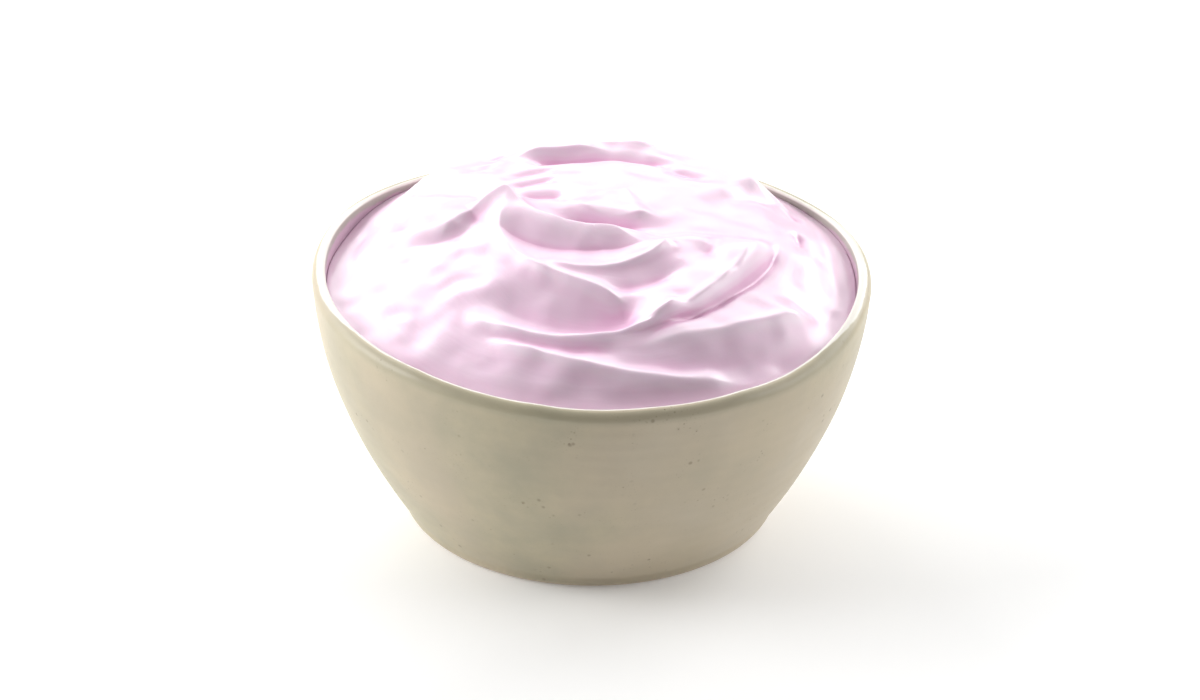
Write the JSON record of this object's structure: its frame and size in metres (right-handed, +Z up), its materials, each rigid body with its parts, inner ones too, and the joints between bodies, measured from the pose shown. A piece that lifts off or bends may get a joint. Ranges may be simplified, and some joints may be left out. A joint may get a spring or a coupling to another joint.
{
  "type": "bowl of yogurt",
  "caption": "Round open stoneware bowl heaped with thick pale lilac-pink yogurt stirred into a spiral of soft folds; a filled dessert bowl that stands on its flat foot.",
  "frame": {"origin": "on the surface that the foot stands on, at the middle of the object's plan", "axes": "+Z up along the bowl's turning axis; the picture looks along +Y, with +X to its right"},
  "size_m": [0.13, 0.13, 0.0755],
  "materials": {
    "bowl": "satin beige stoneware with fine darker specks and a thin paler line along the rim",
    "yogurt": "soft glossy pale lilac-pink yogurt"
  },
  "bodies": {
    "root": {"bowl": "bowl", "yogurt": "yogurt"}
  },
  "joints": []
}
